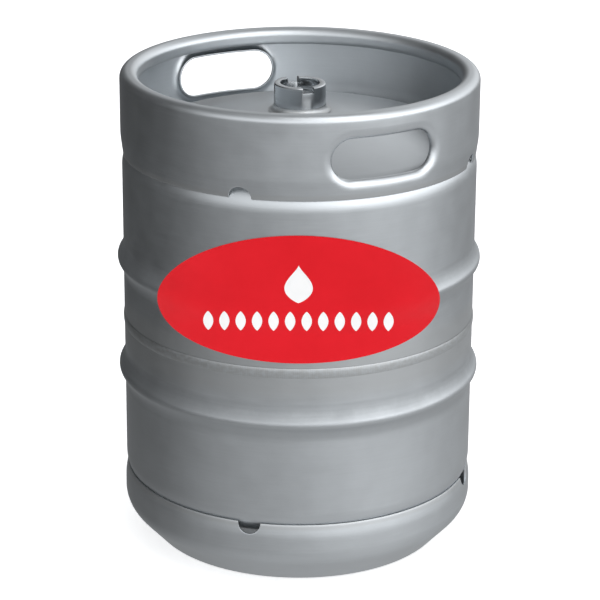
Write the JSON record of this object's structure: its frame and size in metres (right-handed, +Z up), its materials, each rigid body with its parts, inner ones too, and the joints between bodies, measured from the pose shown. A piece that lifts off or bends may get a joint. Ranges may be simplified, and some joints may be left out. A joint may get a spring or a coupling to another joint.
{
  "type": "draught keg",
  "caption": "Stainless steel draught keg with rolling hoops, welded chimes, lipped hand holes, an oval label and a sprung extractor valve in its neck.",
  "frame": {"origin": "on the floor under the keg's axis, at the centre of the foot ring", "axes": "+Z up along the keg's axis, -Y towards the front with the label, +X to the right of someone facing the label"},
  "size_m": [0.401, 0.4018, 0.532],
  "materials": {
    "satin_steel": "satin, pickled and fine-brushed stainless sheet",
    "weld_steel": "pickled weld bead with fine ripples",
    "turned_steel": "machined stainless with turning marks",
    "spring_steel": "drawn stainless spring wire",
    "polished_steel": "polished ball",
    "seal_rubber": "matt black moulded rubber",
    "label_vinyl": "red printed vinyl with a white emblem"
  },
  "bodies": {
    "keg": {"upper_shell": "satin_steel", "lower_shell": "satin_steel", "girth_weld": "weld_steel", "top_chime": "satin_steel", "bottom_chime": "satin_steel", "top_chime_weld": "weld_steel", "bottom_chime_weld": "weld_steel", "neck_boss": "turned_steel", "neck_weld": "weld_steel", "spear_body": "turned_steel", "body_gasket": "seal_rubber", "lock_ring": "spring_steel", "spring_stop": "turned_steel", "gas_spring": "spring_steel", "oval_label": "label_vinyl"},
    "gas_valve": {"gas_seal": "seal_rubber", "seal_retainer": "turned_steel", "down_tube": "turned_steel", "product_spring": "spring_steel"},
    "product_valve": {"product_ball": "polished_steel"}
  },
  "joints": [
    {"name": "gas_valve_slide", "type": "slide", "parent": "keg", "child": "gas_valve", "axis": [0, 0, 1], "range_m": [-0.007, 0], "stiffness_N_per_m": 8000, "springref_m": 0.0075, "deforming": ["gas_spring"]},
    {"name": "product_valve_slide", "type": "slide", "parent": "gas_valve", "child": "product_valve", "axis": [0, 0, 1], "range_m": [-0.005, 0], "stiffness_N_per_m": 1500, "springref_m": 0.004, "deforming": ["product_spring"]}
  ]
}
